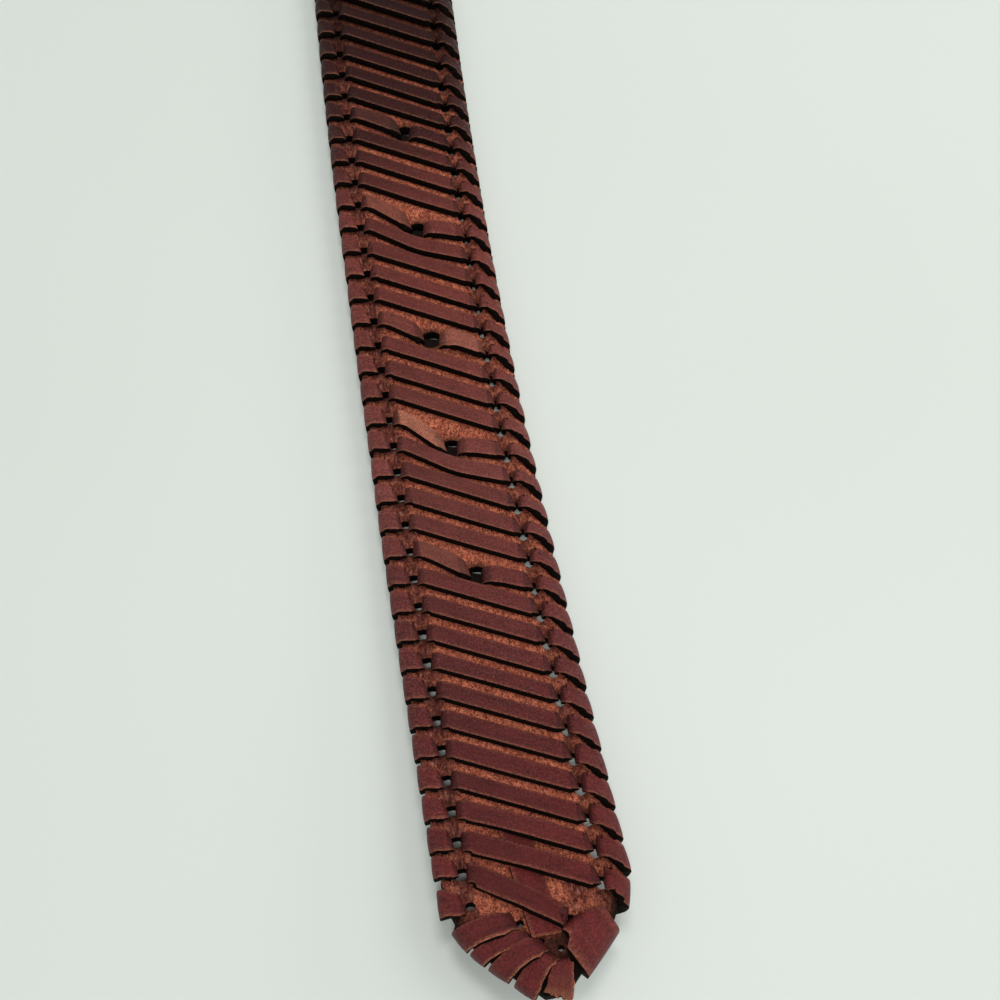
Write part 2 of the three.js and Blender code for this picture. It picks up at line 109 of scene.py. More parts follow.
def halfWidth(along):
    if along >= strap["tipLength"]:
        share = 1 - (along - strap["tipLength"]) / (strap["flareLength"] - strap["tipLength"])
        return strap["half"] + strap["flare"] * max(0, share)
    shares, halves = zip(*strap["tip"])
    return shoulderHalf * float(np.interp(along / strap["tipLength"], shares, halves))


def edgeAt(edge, side):
    # the strap's edge there: its point, and the ways out from it and along it
    slope = (halfWidth(edge + 0.2) - halfWidth(edge - 0.2)) / 0.4
    length = math.hypot(1, slope)
    out, run = (-slope / length, side / length), (1 / length, side * slope / length)
    return (edge, side * halfWidth(edge)), out, run


def holeAlong(index):
    return lace["firstHole"] + index * lace["pitch"]


def rowHole(index, side):
    along = holeAlong(index)
    return (along, side * (halfWidth(along) - strap["rowMargin"]))


strandSlope = lace["lead"] * lace["pitch"] / (2 * (strap["half"] - strap["rowMargin"]))


def strandMiddle(turn, across):
    return holeAlong(turn) - lace["lead"] / 2 * lace["pitch"] - across * strandSlope


def prongPlace(row):
    return (strandMiddle(row["turn"], row["aside"]) - row["ahead"] * lace["pitch"], row["aside"])


def unit(a, b):
    length = math.hypot(b[0] - a[0], b[1] - a[1])
    return ((b[0] - a[0]) / length, (b[1] - a[1]) / length)


def between(a, b, share):
    return (a[0] + (b[0] - a[0]) * share, a[1] + (b[1] - a[1]) * share)


# Shader maths: one wrapped socket, so that masks are written as expressions

class Value:
    def __init__(self, shader, socket):
        self.shader = shader
        self.socket = socket

    def maths(self, operation, *inputs):
        return self.shader.node("ShaderNodeMath", {"operation": operation}, inputs)

    def __add__(self, other):
        return self.maths("ADD", self, other)

    __radd__ = __add__

    def __mul__(self, other):
        return self.maths("MULTIPLY", self, other)

    __rmul__ = __mul__

    def __sub__(self, other):
        return self.maths("SUBTRACT", self, other)

    def __rsub__(self, other):
        return self.maths("SUBTRACT", other, self)

    def ramp(self, low, high):
        inputs = {"Value": self, "From Min": low, "From Max": high}
        return self.shader.node("ShaderNodeMapRange", {"clamp": True}, inputs)


class Shader:
    def __init__(self, tree):
        self.tree = tree

    def node(self, kind, settings, inputs, output=0):
        made = self.tree.nodes.new(kind)
        for key, value in settings.items():
            if key == "stops":
                while len(made.color_ramp.elements) < len(value):
                    made.color_ramp.elements.new(1)
                for element, (place, color) in zip(made.color_ramp.elements, value):
                    element.position = place
                    element.color = (*color, 1)
            else:
                setattr(made, key, value)
        for key, value in inputs.items() if isinstance(inputs, dict) else enumerate(inputs):
            self.feed(made.inputs[key], value)
        return Value(self, made.outputs[output])

    def feed(self, socket, value):
        if isinstance(value, Value):
            self.tree.links.new(value.socket, socket)
        elif isinstance(value, tuple) and socket.type == "RGBA":
            socket.default_value = (*value, 1)
        else:
            socket.default_value = value

    def noise(self, place, scale, detail=3.0, rough=0.55):
        inputs = {"Vector": place, "Scale": scale, "Detail": detail, "Roughness": rough}
        return self.node("ShaderNodeTexNoise", {}, inputs)

    def mix(self, factor, one, two):
        return self.node("ShaderNodeMix", {"data_type": "RGBA"}, {"Factor": factor, 6: one, 7: two}, 2)

    def scaleColor(self, color, factor):
        return self.node("ShaderNodeVectorMath", {"operation": "SCALE"}, {0: color, "Scale": factor})

    def attribute(self, name):
        return self.node("ShaderNodeAttribute", {"attribute_name": name}, {}, "Fac")

    def stretched(self, place, scale):
        return self.node("ShaderNodeMapping", {}, {"Vector": place, "Scale": scale})

    def warped(self, place, scale, amount):
        # the place moved about by noise, so that a pattern on it isn't regular
        push = self.node("ShaderNodeTexNoise", {}, {"Vector": place, "Scale": scale}, "Color")
        push = self.node("ShaderNodeVectorMath", {"operation": "SUBTRACT"}, [push, (0.5, 0.5, 0.5)])
        push = self.node("ShaderNodeVectorMath", {"operation": "SCALE"}, {0: push, "Scale": amount})
        return self.node("ShaderNodeVectorMath", {"operation": "ADD"}, [place, push])

    def uv(self):
        return self.node("ShaderNodeUVMap", {"uv_map": "UVMap"}, {})

    def objectPlace(self):
        return self.node("ShaderNodeTexCoord", {}, {}, "Object")

    def part(self, place, axis):
        return self.node("ShaderNodeSeparateXYZ", {}, [place], axis)

    def bump(self, height, strength, distance):
        inputs = {"Height": height, "Strength": strength, "Distance": distance}
        return self.node("ShaderNodeBump", {}, inputs)


# Camera and light

photoCamera = {
    "focal": 1600, "frame": 1000,  # pixels
    "yaw": math.radians(6.98), "pitchDown": math.radians(66.06),
    "aside": -4.09, "ahead": -234.42, "up": 284.6,  # mm from the belt's middle line where the swing starts
    "sensor": 36,
}
studio = {
    "backWindow": {"from": (0.05, 0.2, 1.15), "size": (0.34, 0.26), "power": 3.9, "color": (1, 0.99, 0.97)},
    "sidePanel": {"from": (0.8, 0.15, 0.9), "size": (0.6, 0.6), "power": 3.4, "color": (1, 1, 0.99)},
    "lowPanel": {"from": (1.15, 0.1, 0.36), "size": (0.7, 0.3), "power": 2.6, "color": (1, 1, 1)},
    "frontPanel": {"from": (-0.06, -0.42, 1.1), "size": (0.18, 0.18), "power": 3.4, "color": (1, 1, 1)},
}
skyColors = {"low": (0.14, 0.15, 0.145), "high": (0.46, 0.478, 0.468)}
lightsAim = 110  # mm along the belt


def addCamera():
    ahead = tipY + strap["swingLength"] + photoCamera["ahead"]
    place = (photoCamera["aside"] + middleX, ahead, photoCamera["up"])
    data = bpy.data.cameras.new("photoCamera")
    camera = bpy.data.objects.new("photoCamera", data)
    bpy.context.collection.objects.link(camera)
    data.sensor_width = photoCamera["sensor"]
    data.lens = photoCamera["focal"] / photoCamera["frame"] * data.sensor_width
    data.clip_start = 0.01
    data.clip_end = 20
    camera.location = Vector(place) * mm
    camera.rotation_euler = (math.pi / 2 - photoCamera["pitchDown"], 0, -photoCamera["yaw"])
    bpy.context.scene.camera = camera


def addLight(name, spec, target):
    data = bpy.data.lights.new(name, "AREA")
    data.shape = "RECTANGLE"
    data.size, data.size_y = spec["size"]
    data.energy = spec["power"]
    data.color = spec["color"]
    light = bpy.data.objects.new(name, data)
    bpy.context.collection.objects.link(light)
    light.location = Vector(target) + Vector(spec["from"])
    light.rotation_euler = (-Vector(spec["from"])).to_track_quat("-Z", "Y").to_euler()


def addStudio():
    target = toWorld(lightsAim, 0, 0).tolist()
    for name, spec in studio.items():
        addLight(name, spec, target)
    world = bpy.data.worlds.new("studio")
    world.use_nodes = True
    sky = Shader(world.node_tree)
    height = sky.part(sky.node("ShaderNodeTexCoord", {}, {}, "Generated"), "Z")
    color = sky.mix(height.ramp(0.1, 0.95), skyColors["low"], skyColors["high"])
    sky.feed(world.node_tree.nodes["Background"].inputs["Color"], color)
    bpy.context.scene.world = world
    bpy.context.scene.view_settings.view_transform = "Standard"


addCamera()
addStudio()
print("camera and studio made")


# Finishes. Laces and strap read their UV maps, which are in mm.

def newFinish(name):
    material = bpy.data.materials.new(name)
    material.use_nodes = True
    return material, Shader(material.node_tree)


def dress(material, shader, **sockets):
    surface = material.node_tree.nodes["Principled BSDF"]
    for key, value in sockets.items():
        shader.feed(surface.inputs[key.replace("_", " ")], value)
    return material


laceColors = [  # share of the first 300 mm of the belt, and the leather there: most worn at the prong holes, lightest from about 80 to 160 mm as wear with a painted sheen, and darkened from about 165 mm on as painted shade
    (0.0, (0.115, 0.0135, 0.013)), (0.16, (0.105, 0.013, 0.0125)), (0.21, (0.105, 0.0155, 0.0145)),
    (0.27, (0.13, 0.022, 0.019)), (0.33, (0.165, 0.036, 0.029)), (0.44, (0.15, 0.027, 0.02)),
    (0.54, (0.14, 0.024, 0.018)), (0.6, (0.03, 0.002, 0.0012)), (0.67, (0.022, 0.0016, 0.001)),
    (0.73, (0.009, 0.0012, 0.0006)), (1, (0.008, 0.0012, 0.0006)),
]
laceColorsLength = 300
laceMarks = {
    "worn": (0.5, 0.175, 0.105), "pore": (0.016, 0.004, 0.003), "speck": (0.3, 0.13, 0.12),
    "scuff": (0.4, 0.19, 0.16), "dark": (0.04, 0.007, 0.006), "brink": (0.5, 0.19, 0.1),
    "shade": (0.01, 0.004, 0.003), "raw": (0.3, 0.105, 0.055),
}
# the cut edges: an edge dye, made near black as painted shade for the sides that face away from the light
cutColors = {"dark": (0.004, 0.0025, 0.002), "fibre": (0.022, 0.008, 0.005)}
suedeColors = {
    "low": (0.19, 0.032, 0.018), "high": (0.84, 0.235, 0.125), "patch": (0.25, 0.04, 0.025),
    "dirt": (0.13, 0.03, 0.024), "fibre": (0.03, 0.007, 0.005), "fibreLit": (0.5, 0.25, 0.2),
    "grain": (0.05, 0.011, 0.007), "grainLit": (0.98, 0.42, 0.27), "soot": (0.008, 0.005, 0.004),
}
brassColors = {"clean": (0.52, 0.40, 0.22), "tarnish": (0.23, 0.16, 0.085), "speck": (0.1, 0.07, 0.04)}
floorColors = {"low": (0.668, 0.71, 0.668), "high": (0.698, 0.74, 0.702)}


def beltRamp(shader, start, stop):
    # from 0 to 1 between two places along the belt
    y = shader.part(shader.objectPlace(), "Y")
    return y.ramp((tipY + start) * mm, (tipY + stop) * mm)


def makeLaceLeather():
    material, shader = newFinish("laceLeather")
    uv = shader.uv()
    fine = shader.noise(uv, 2.3, 4, 0.8)
    pores = shader.noise(uv, 4.0, 2, 0.6)
    specks = shader.noise(uv, 3.1, 3, 0.75)
    streaks = shader.noise(shader.stretched(uv, (0.12, 0.9, 1)), 1.0, 4, 0.6)
    patches = shader.noise(shader.stretched(uv, (0.4, 0.6, 1)), 1.0, 3, 0.6)
    scuffs = shader.noise(shader.stretched(uv, (0.8, 1.6, 1)), 1.1, 6, 0.72)
    # where the specks and scuffs show, most between 55 and 165 mm: the most worn stretch, and also where a
    # painted sheen goes
    worn = beltRamp(shader, 200, 165) * 0.7 + 0.3
    worn = worn * (beltRamp(shader, 20, 55) * 0.7 + 0.3)
    # the leather's colour along the belt, with the painted sheen of the middle and the painted shade of the
    # far end
    share = beltRamp(shader, 0, laceColorsLength)
    body = shader.node("ShaderNodeValToRGB", {"stops": laceColors}, [share])
    body = shader.mix(shader.attribute("wear") * (0.4 + fine * 0.7), body, laceMarks["worn"])
    shades = fine.ramp(0.38, 0.62) * 1.1 + (patches - 0.5) * 1.2 + (streaks - 0.5) * 1.6
    body = shader.scaleColor(body, shades + 0.78)
    body = shader.mix(pores.ramp(0.55, 0.64) * 0.6, body, laceMarks["pore"])
    # light specks: partly the grain, partly painted glints of sheen
    body = shader.mix(specks.ramp(0.52, 0.64) * worn * 0.6, body, laceMarks["speck"])
    body = shader.mix(scuffs.ramp(0.57, 0.7) * worn * 0.45, body, laceMarks["scuff"])
    body = shader.mix(shader.attribute("tone") * 0.4, body, laceMarks["dark"])
    # lighter rims: partly rubbed edges, partly a painted highlight
    body = shader.mix(shader.attribute("brink") * fine.ramp(0.4, 0.55), body, laceMarks["brink"])
    body = shader.mix(shader.attribute("shade"), body, laceMarks["shade"])
    body = shader.mix(shader.attribute("raw") * (0.5 + fine * 0.6), body, laceMarks["raw"])
    rough = 0.34 + fine * 0.2 + patches * 0.1
    height = fine * 0.7 + pores * 0.4 + scuffs * 0.3
    return dress(
        material, shader, Base_Color=body, Roughness=rough, Normal=shader.bump(height, 1.0, 0.0006),
        Specular_IOR_Level=0.26,
    )


def makeLaceEdge():
    material, shader = newFinish("laceEdge")
    fibre = shader.noise(shader.objectPlace(), 2600, 3, 0.7)
    body = shader.mix(fibre.ramp(0.5, 0.8), cutColors["dark"], cutColors["fibre"])
    return dress(
        material, shader, Base_Color=body, Roughness=0.9, Normal=shader.bump(fibre, 0.5, 0.0002),
        Specular_IOR_Level=0.1,
    )


def makeSuede():
    material, shader = newFinish("suedeStrap")
    uv = shader.uv()
    nap = shader.noise(uv, 1.3, 6, 0.8)
    grains = shader.noise(uv, 3.4, 3, 0.7)
    fibres = shader.noise(shader.stretched(shader.warped(uv, 0.6, 1.5), (0.7, 2.0, 1)), 1.1, 5, 0.7)
    patches = shader.noise(uv, 0.4, 4, 0.65)
    dirt = (shader.attribute("rows") + (patches - 0.5) * 1.6).ramp(0.15, 0.95)
    body = shader.mix(nap.ramp(0.41, 0.57), suedeColors["low"], suedeColors["high"])
    body = shader.mix(patches.ramp(0.47, 0.6) * 0.6, body, suedeColors["patch"])
    body = shader.mix(dirt * 0.8, body, suedeColors["dirt"])
    body = shader.mix(fibres.ramp(0.52, 0.61) * (0.5 + dirt * 0.4), body, suedeColors["fibre"])
    body = shader.mix(fibres.ramp(0.45, 0.36) * dirt * 0.8, body, suedeColors["fibreLit"])
    body = shader.mix(grains.ramp(0.53, 0.61) * 0.6, body, suedeColors["grain"])
    body = shader.mix(grains.ramp(0.45, 0.37) * (1 - dirt) * 0.5, body, suedeColors["grainLit"])
    # painted shade: the suede darker from 175 mm along the belt, to about an eighth of its colour past 225
    # mm
    body = shader.scaleColor(body, 1 - beltRamp(shader, 175, 225) * 0.5 - beltRamp(shader, 195, 208) * 0.38)
    # near black where the strap's darker mark is set: painted shade at the holes and the tip, and darker
    # edges
    body = shader.mix(shader.attribute("soot"), body, suedeColors["soot"])
    height = nap * 0.7 + grains * 0.5 + fibres * 0.5
    return dress(
        material, shader, Base_Color=body, Roughness=0.9, Normal=shader.bump(height, 0.9, 0.0006),
        Specular_IOR_Level=0.12,
    )


def makeBrass():
    material, shader = newFinish("wornBrass")
    place = shader.objectPlace()
    brushed = shader.noise(shader.stretched(place, (1, 0.15, 1)), 1800, 3)
    tarnish = shader.noise(place, 170, 5, 0.65)
    specks = shader.noise(place, 900, 2, 0.6)
    body = shader.mix(tarnish.ramp(0.42, 0.7), brassColors["clean"], brassColors["tarnish"])
    body = shader.mix(specks.ramp(0.62, 0.75) * 0.6, body, brassColors["speck"])
    return dress(
        material, shader, Base_Color=body, Metallic=1.0, Roughness=0.25 + brushed * 0.12 + tarnish * 0.18,
        Normal=shader.bump(brushed, 0.12, 0.00008),
    )


def makeFloor():
    material, shader = newFinish("paleFloor")
    cloud = shader.noise(shader.objectPlace(), 4, 2)
    body = shader.mix(cloud.ramp(0.3, 0.7), floorColors["low"], floorColors["high"])
    return dress(material, shader, Base_Color=body, Roughness=0.7, Specular_IOR_Level=0.2)


finishes = {
    "lace": makeLaceLeather(), "laceEdge": makeLaceEdge(), "suede": makeSuede(),
    "brass": makeBrass(), "floor": makeFloor(),
}
print("finishes made")


# Grids and modifiers that the laces, the strap and the buckle share

def addGrid(columns, rows):
    # a flat grid, with the column that each vertex stands in and its place across, from -1 to 1
    deselectAll()
    bpy.ops.mesh.primitive_grid_add(
        x_subdivisions=columns - 1, y_subdivisions=rows - 1, size=1, calc_uvs=True)
    mesh = bpy.context.object.data
    flat = np.empty(len(mesh.vertices) * 3)
    mesh.vertices.foreach_get("co", flat)
    flat = flat.reshape(-1, 3)
    column = np.rint((flat[:, 0] + 0.5) * (columns - 1)).astype(int)
    return bpy.context.object, column, flat[:, 1] * 2


def setUvs(mesh, uvs):
    corners = np.empty(len(mesh.loops), dtype=int)
    mesh.loops.foreach_get("vertex_index", corners)
    mesh.uv_layers[0].name = "UVMap"
    mesh.uv_layers["UVMap"].data.foreach_set("uv", uvs[corners].ravel())


def setMarks(mesh, marks):
    for name, values in marks.items():
        layer = mesh.attributes.new(name, "FLOAT", "POINT")
        layer.data.foreach_set("value", values.astype(np.float32))


def addThickness(piece, thick, rim=0, group=""):
    thicken = piece.modifiers.new("thickness", "SOLIDIFY")
    thicken.thickness = thick * mm
    thicken.offset = 0
    thicken.material_offset_rim = rim
    thicken.vertex_group = group


def finishEdges(piece, width, segments, bevelAngle, smoothAngle):
    soften = piece.modifiers.new("edges", "BEVEL")
    soften.width = width * mm
    soften.segments = segments
    soften.angle_limit = math.radians(bevelAngle)
    deselectAll()
    piece.select_set(True)
    bpy.context.view_layer.objects.active = piece
    for modifier in list(piece.modifiers):
        bpy.ops.object.modifier_apply(modifier=modifier.name)
    bpy.ops.object.shade_smooth_by_angle(angle=math.radians(smoothAngle))


# Bands. A knot is a corner of a band's middle line, with the band's half width there.

chance = random.Random(7)


def vary(amount):
    return chance.uniform(-amount, amount)


def knot(at, up, half, cut=0.75, **marks):
    return {"at": (at[0], at[1], up), "half": half, "cut": cut, **marks}


shownMarks = ("tone", "shade", "wear", "raw")  # read by the lace's finish
shapeMarks = ("lit", "crown", "flat")
bandMarks = shownMarks + shapeMarks
fineStep = 1.2  # a band with longer steps than this takes its corners in fewer turns


def sampleKnots(knots, step):
    # rounds the corners and fills the runs: rows of place, half width and the marks
    points = [np.array(k["at"], dtype=float) for k in knots]
    marks = np.array([[*k["half"], *(k.get(m, 0) for m in bandMarks)] for k in knots])
    rows = []

    def add(place, i, j, t):
        s = t * t * (3 - 2 * t)
        rows.append((*place, *(marks[i] * (1 - s) + marks[j] * s)))

    turns = 4 if step < fineStep else 2
    last = points[0]
    for i in range(1, len(knots)):
        here = points[i]
        final = i + 1 == len(knots)
        back = here - points[i - 1]
        reach = np.linalg.norm(back)
        ahead = back if final else points[i + 1] - here
        cut = 0 if final else min(knots[i]["cut"], 0.48 * reach, 0.48 * np.linalg.norm(ahead))
        stop = here - back / reach * cut
        count = max(1, int(math.ceil(np.linalg.norm(stop - last) / step)))
        for k in range(count):
            place = last + (stop - last) * k / count
            add(place, i - 1, i, np.linalg.norm(place - points[i - 1]) / reach)
        if final:
            add(stop, i - 1, i, 1)
            break
        leave = here + ahead / np.linalg.norm(ahead) * cut
        for k in range(turns):
            t = k / turns
            add((1 - t) ** 2 * stop + 2 * t * (1 - t) * here + t * t * leave, i, i, 0)
        last = leave
    return np.array(rows)


def frayEnd(points, column, v, place, across, fray):
    # pulls the strands of the last rows out by uneven lengths
    ragged = np.array([vary(fray) for _ in range(across + 1)])
    ends = np.clip((column - len(place) + 5) / 4, 0, 1)
    lane = np.rint((v + 1) / 2 * across).astype(int)
    direction = (place[-1] - place[-4]) / np.linalg.norm(place[-1] - place[-4])
    points += direction * (ends * ragged[lane])[:, None]
    points[:, 2] += ends * ragged[::-1][lane] * 0.4


def layBand(rows, across, fray=0.0):
    # adds a grid and lays it along the rows, with its UV map in mm
    piece, column, v = addGrid(len(rows), across + 1)
    place = rows[:, :3]
    half = np.concatenate([rows[:, 3:5], np.zeros((len(rows), 1))], axis=1)
    marks = {name: rows[column, index] for index, name in enumerate(bandMarks, 5)}
    tangent = np.gradient(place, axis=0)
    normal = np.cross(half, tangent)
    normal /= np.linalg.norm(normal, axis=1)[:, None] + 1e-9
    if np.sum(normal[:, 2] * place[:, 2]) < 0:
        normal = -normal
    tipwards = -np.sign(rows[:, 3] + 1e-9)[column]
    tilt = lace["tilt"] * (1 - marks["flat"]) * tipwards
    rise = (lace["crown"] + marks["crown"]) * (1 - v ** 2) + tilt * v
    points = place[column] + half[column] * v[:, None] + normal[column] * rise[:, None]
    if fray:
        frayEnd(points, column, v, place, across, fray)
    piece.data.vertices.foreach_set("co", toWorld(points[:, 0], points[:, 1], points[:, 2]).ravel())
    length = np.concatenate([[0], np.cumsum(np.linalg.norm(np.diff(place, axis=0), axis=1))])
    start = chance.uniform(0, 500)
    setUvs(piece.data, np.stack([start + length[column], v * np.linalg.norm(half, axis=1)[column]], axis=1))
    # the rims are a little lighter all round as rubbed edges, and more on the tipwards side as a painted
    # highlight, by how lit the band is
    lit = np.clip(0.2 + (0.25 + marks["lit"]) * (v * tipwards > 0), 0, 1)
    shown = {name: marks[name] for name in shownMarks}
    setMarks(piece.data, {**shown, "brink": np.clip(np.abs(v) * 4 - 3, 0, 1) * lit})
    return piece


def addBand(name, knots, thick, step, across, finish, edge, rounding, segments, fray=0.0):
    piece = layBand(sampleKnots(knots, step), across, fray)
    piece.name = piece.data.name = name
    piece.data.materials.append(finishes[finish])
    piece.data.materials.append(finishes[edge])
    addThickness(piece, thick, rim=1)
    finishEdges(piece, rounding, segments, 55, 45)
    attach(piece, "root")
    return piece


fineGrid = {"step": 0.9, "across": 6, "segments": 2}
coarseGrid = {"step": 2.2, "across": 3, "segments": 1}


def addLace(name, knots, node, coarse=False, **more):
    sizes = {"thick": lace["thick"], "finish": "lace", "edge": "laceEdge", "rounding": 0.18}
    sizes.update(coarseGrid if coarse else fineGrid)
    piece = addBand(name, knots, **{**sizes, **more})
    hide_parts(node)
    return piece


# Laces

def lengthwise(half):
    return (half, 0.0)


def rimKnots(hole, direction, room, order, half, **marks):
    # a lace turning over the rim of a hole, above and below the strap in the order given
    at = between(hole, (hole[0] + direction[0], hole[1] + direction[1]), room + lace["thick"] / 2)
    above = knot(at, midUp, half, 1.25, **{**marks, "shade": 0.42})
    under = {**marks, "shade": 1.0, "crown": 0, "flat": 1}
    below = knot((at[0] + lace["rimLean"], at[1]), -underUp, half, 1.1, **under)
    return [above if side > 0 else below for side in order]


def edgeKnots(hole, edge, side, rimHalf, edgeHalf, direction, dome, room, spread, nearShare, **marks):
    # one wrap of an edge: up through its hole, over to the edge, round it and under
    point, out, run = edgeAt(edge, side)
    cross = (-direction[1], direction[0])
    if cross[0] * run[0] + cross[1] * run[1] < 0:
        cross = (direction[1], -direction[0])
    rim = (cross[0] * rimHalf, cross[1] * rimHalf)
    full = (run[0] * (edgeHalf + spread), run[1] * (edgeHalf + spread))
    hug = float(np.interp(edge, *zip(*lace["hugSides"])))
    outer = between(point, (point[0] + out[0], point[1] + out[1]), hug + lace["thick"] / 2)
    share = 0.4 if room < 1 else 0.55
    nearHalf = edgeHalf * nearShare
    near = (hole[0] + (outer[0] - hole[0]) * 0.15, hole[1] + (outer[1] - hole[1]) * share)
    bend = (hole[0] + (outer[0] - hole[0]) * 0.5, hole[1] + (outer[1] - hole[1]) * (share + 0.24))
    wide = ((cross[0] * 0.5 + run[0] * 0.5) * edgeHalf, (cross[1] * 0.5 + run[1] * 0.5) * edgeHalf)
    marks["crown"] = lace["tabCrown"]
    return [
        *rimKnots(hole, direction, room, (-1, 1), rim, **marks),
        knot(near, midUp + dome, (cross[0] * nearHalf, cross[1] * nearHalf), 0.9, **marks, flat=-0.15),
        knot(bend, midUp + dome, wide, 1.2, **marks, flat=-0.15),
        knot(outer, midUp * 0.85, full, 1.5, **marks, flat=0.6),
        knot(outer, -underUp, full, 1.3, **{**marks, "shade": 0.15, "crown": 0, "flat": 1}),
    ]


tabs = {  # for each side: half widths along the belt, lead to the edge in pitches, room, dome and most tone
    -1: {"halves": [(18, 2.1), (110, 1.9)], "lead": 0.18, "room": 1.2, "dome": 0.12, "tone": 0.8},
    1: {
        "halves": [(30, 2.05), (60, 1.75), (78, 1.6), (88, 1.32), (125, 1.32), (140, 1.6)],
        "lead": -0.5, "room": lace["room"], "dome": 0.3, "tone": 0.3,
    },
}
usualNear = 0.96  # the share of its width that a lace has next to its hole


def tabKnots(index, side):
    tab = tabs[side]
    hole = rowHole(index, side)
    width = 1 + vary(0.06)
    shift = vary(0.15)
    edge = hole[0] + tab["lead"] * lace["pitch"] + shift + vary(0.15)
    place = (hole[0] + shift, hole[1] + vary(0.1))
    half = float(np.interp(hole[0], *zip(*tab["halves"]))) * width
    if side < 0 and index == 1:  # makes room for the tip's wraps
        half, edge, place = half * 0.85, edge + 0.8, (place[0] + 0.6, place[1])
    return edgeKnots(
        place, edge, side, half * lace["tabRimShare"], half, (0.0, float(side)), tab["dome"],
        tab["room"], lace["tabSpread"], usualNear, tone=chance.random() * tab["tone"])


# for each wrap of the tip: side, hole along and aside, edge along, half widths at edge and hole, dome,
# lit edge, how much it spreads at the edge, and the share of its width that it has next to its hole
tipWrapFields = ("side", "hole", "edge", "half", "rim", "dome", "lit", "spread", "near")
tipWraps = [dict(zip(tipWrapFields, row)) for row in (
    (-1, (7.9, 1.3), 3.8, 1.8, 1.2, 0.3, 0.3, 0.22, usualNear),
    (-1, (9.7, 0.1), 7.4, 1.9, 1.3, 0.95, 0.6, 0, usualNear),
    (-1, (11.5, -2.0), 10.5, 1.4, 1.0, 0.1, 0.5, 0, usualNear),
    (-1, (14.4, -4.0), 13.7, 2.0, 1.5, 0.7, 0.9, 0, usualNear),
    (1, (13.2, 4.6), 7.7, 4.7, 2.0, 1.0, 0, 0, 0.62),
)]
laceEnd = {"hole": (7.4, 2.6), "tip": (1.2, 0.4), "half": 2.2, "rim": 0.9, "up": 0.6}
tail = {"low": (11.3, 0.35), "high": (31.92, -1.84), "half": 2.65, "thick": 0.9, "strands": 3}


def wrapKnots(wrap):
    direction = unit(wrap["hole"], edgeAt(wrap["edge"], wrap["side"])[0])
    return edgeKnots(
        wrap["hole"], wrap["edge"], wrap["side"], wrap["rim"], wrap["half"], direction, wrap["dome"],
        lace["room"], wrap["spread"], wrap["near"], tone=chance.random() * 0.4, lit=wrap["lit"])


def strandKnots(turn, left, right, **marks):
    # the long run of a strand between its two holes, raised where it passes over the tail
    half = lace["strandHalf"] * (1 + vary(0.05)) * lace["lastStrands"].get(turn, 1)
    pushed = next((row for row in prongHoles if row["turn"] == turn + 1), None)
    push = pushed["nudge"] * lace["pitch"] if pushed else 0
    over = tail["thick"] if turn <= tail["strands"] else 0
    runs = [(0.1, 0, 0), (0.3, over * 0.75, 0), (0.5, over, push), (0.66, over * 0.75, 0), (0.9, 0, 0)]
    if not over:
        runs = [runs[0], runs[2], runs[4]]
    knots = []
    tone = marks["tone"]
    for share, lift, nudge in runs:
        spot = between(left, right, share)
        wide = lengthwise(half * (1 + vary(0.03)))
        # painted light: each strand darker at its left end and lighter at its right, where the light from
        # the right falls, and partly wear
        marks["tone"] = tone + 0.8 * (0.5 - share)
        knots.append(knot((spot[0] - nudge, spot[1]), midUp + lift + vary(0.05), wide, 2.5, **marks))
    return knots


def cutLeftKnots(row, left, **marks):
    # the left part of a strand that a prong hole cuts: over, and down through that hole
    marks["wear"] = row["wear"]
    place = prongPlace(row)
    hole = (place[0] + row["back"], place[1])
    start = (left[0], left[1] + lace["room"])
    stop = (hole[0], hole[1] - row["open"])
    return [
        knot((start[0] - 1.2, start[1] + 2), midUp + 0.1, lengthwise(lace["strandHalf"]), 1.5, **marks),
        knot(between(start, stop, 0.7), midUp + 0.2, lengthwise(lace["cutHalf"]), 2.5, **marks),
        *rimKnots(hole, (0.0, -1.0), row["open"], (1, -1), lengthwise(lace["cutRim"]), **marks),
    ]


def tipStrandKnots(turn, left, **marks):
    # a strand so near the tip that it goes down in the last wrap's hole
    hole = tipWraps[-1]["hole"]
    back = unit(hole, left)
    half = -1.5 if back[1] < 0 else 1.5
    cross = (back[1] * half, -back[0] * half)
    knots = strandKnots(turn, left, hole, **marks)
    return knots + rimKnots(hole, back, lace["room"], (1, -1), cross, **marks)


def centreKnots(turns):
    # the lace that goes over from each left hole to a right one and back under
    cuts = {row["turn"]: row for row in prongHoles}
    knots = []
    inLeft, inRight = (-strandSlope, 1.0), (strandSlope, -1.0)
    rim, full = lengthwise(lace["strandRim"]), lengthwise(lace["strandHalf"])
    for turn in turns:
        marks = {"tone": 0.25 + 0.6 * chance.random()}
        shift = vary(0.15)
        left = rowHole(turn, -1)
        left = (left[0] + shift, left[1])
        knots += rimKnots(left, inLeft, lace["room"], (-1, 1), rim, **marks)
        if turn in cuts:
            knots += cutLeftKnots(cuts[turn], left, **marks)
            continue
        if turn < lace["lead"]:
            knots += tipStrandKnots(turn, left, **marks)
            continue
        right = rowHole(turn - lace["lead"], 1)
        right = (right[0] + shift + vary(0.12), right[1])
        knots += strandKnots(turn, left, right, **marks)
        knots += rimKnots(right, inRight, lace["room"], (1, -1), rim, **marks)
        bow = holeAlong(turn) - (lace["lead"] - 0.5 - lace["underBow"]) * lace["pitch"]
        knots.append(knot((bow, 0), -underUp, full, 2, **marks, flat=1))
    return knots


